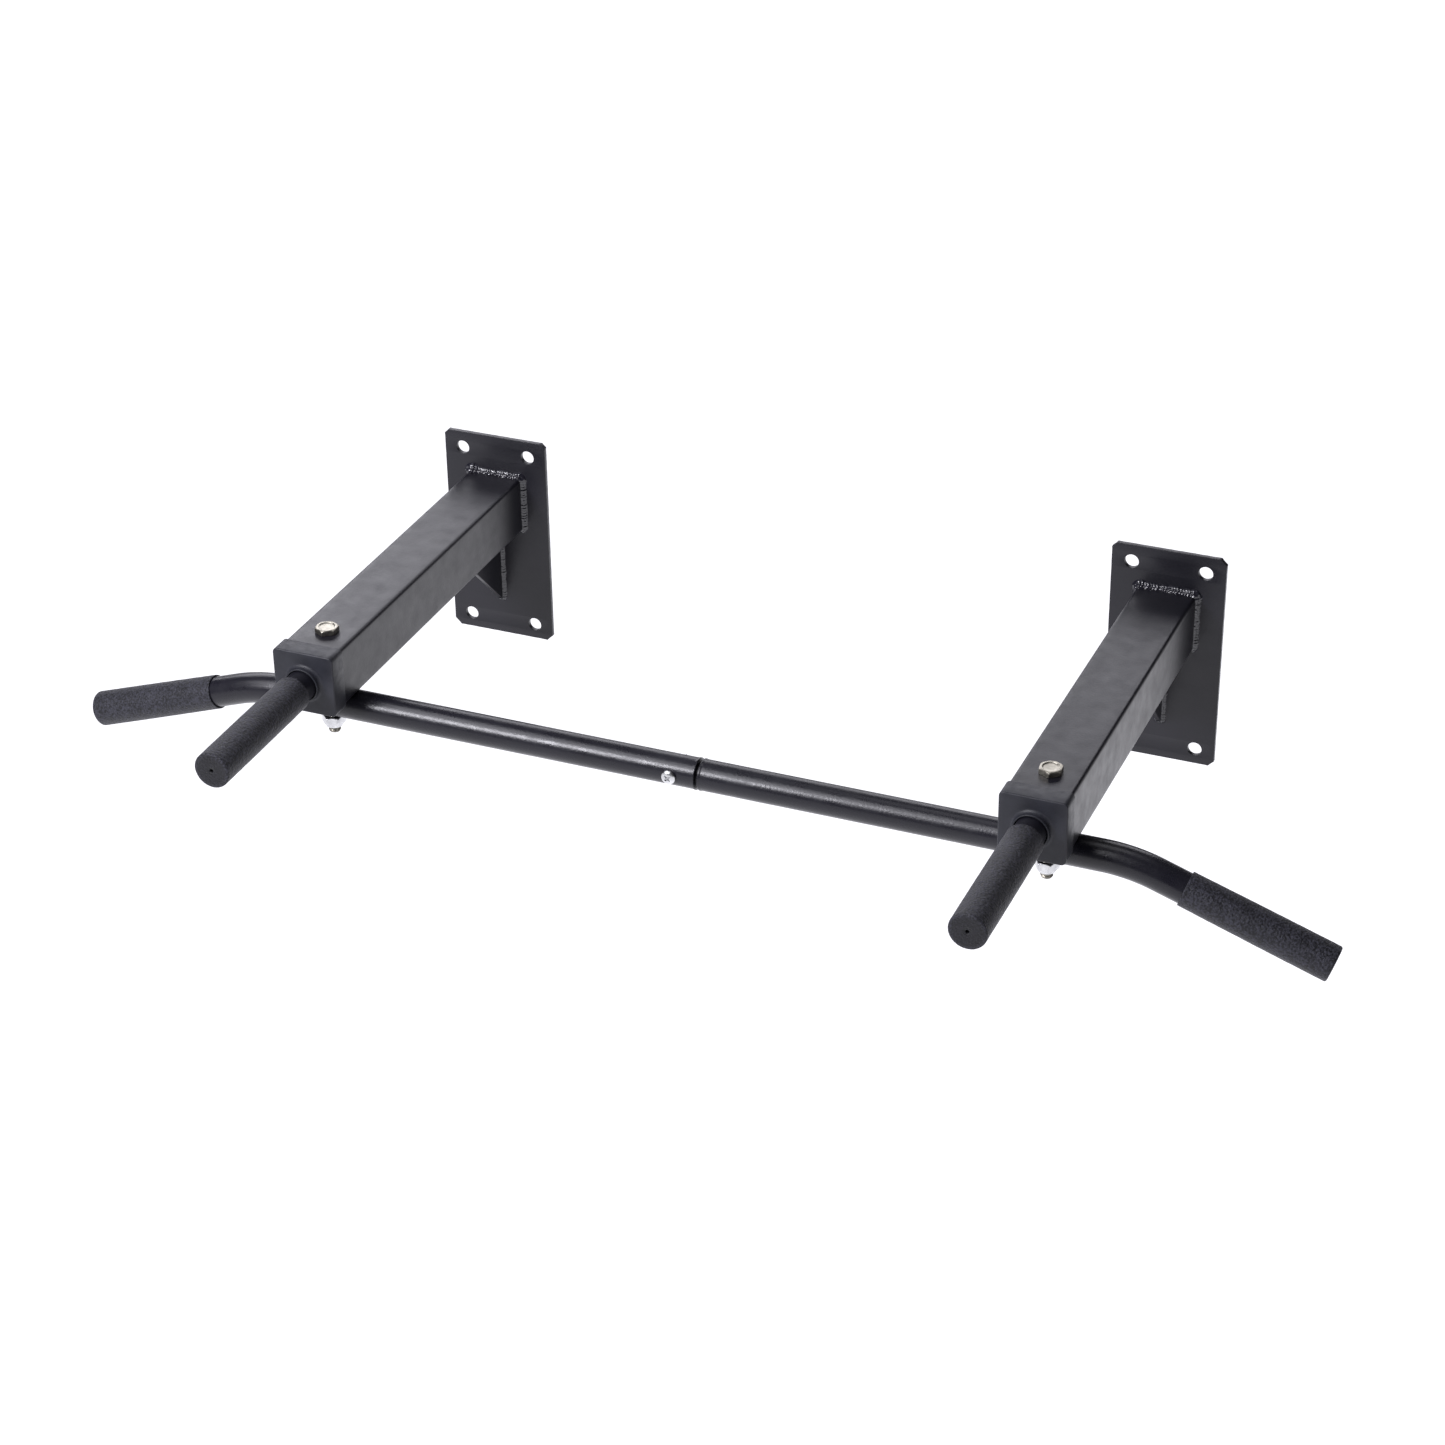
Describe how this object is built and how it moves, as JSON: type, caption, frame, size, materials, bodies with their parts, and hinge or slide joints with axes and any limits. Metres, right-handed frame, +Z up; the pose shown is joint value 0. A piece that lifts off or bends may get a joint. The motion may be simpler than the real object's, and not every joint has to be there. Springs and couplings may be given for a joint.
{
  "type": "pull up bar",
  "caption": "Wall-mounted pull-up bar: square steel arms on wall plates carry a bolted two-piece bar with bent ends and short forward handles, all with foam grips.",
  "frame": {"origin": "on the wall, midway between the arms, at the height of the arms' axes", "axes": "+X along the cross bar to the user's right, +Y into the wall, +Z up; the user hangs on the -Y side"},
  "size_m": [1.0558, 0.5015, 0.192],
  "materials": {
    "powder_coat": "satin charcoal powder coat",
    "bar_coat": "semi-gloss charcoal powder coat with a fine orange peel",
    "weld_coat": "glossy charcoal paint over lumpy weld bead",
    "cap_plastic": "satin moulded plastic",
    "foam": "matte closed-cell foam with fine pores",
    "nickel_steel": "bright warm nickel plate",
    "zinc_steel": "bright zinc plate",
    "nylon": "white nylon"
  },
  "bodies": {
    "root": {"left_wall_plate": "powder_coat", "left_arm_tube": "powder_coat", "left_arm_weld": "weld_coat", "left_gusset": "powder_coat", "left_gusset_plate_weld": "weld_coat", "left_gusset_arm_weld": "weld_coat", "left_arm_end_plate": "powder_coat", "left_handle_tube": "powder_coat", "left_handle_weld": "weld_coat", "left_end_cap": "cap_plastic", "left_handle_grip": "foam", "left_arm_bolt": "nickel_steel", "left_lock_nut": "zinc_steel", "left_lock_nut_insert": "nylon", "left_bar_half": "bar_coat", "left_bar_grip": "foam", "right_wall_plate": "powder_coat", "right_arm_tube": "powder_coat", "right_arm_weld": "weld_coat", "right_gusset": "powder_coat", "right_gusset_plate_weld": "weld_coat", "right_gusset_arm_weld": "weld_coat", "right_arm_end_plate": "powder_coat", "right_handle_tube": "powder_coat", "right_handle_weld": "weld_coat", "right_end_cap": "cap_plastic", "right_handle_grip": "foam", "right_arm_bolt": "nickel_steel", "right_lock_nut": "zinc_steel", "right_lock_nut_insert": "nylon", "right_bar_half": "bar_coat", "right_bar_grip": "foam", "joint_screw": "zinc_steel", "joint_nut": "zinc_steel"}
  },
  "joints": []
}
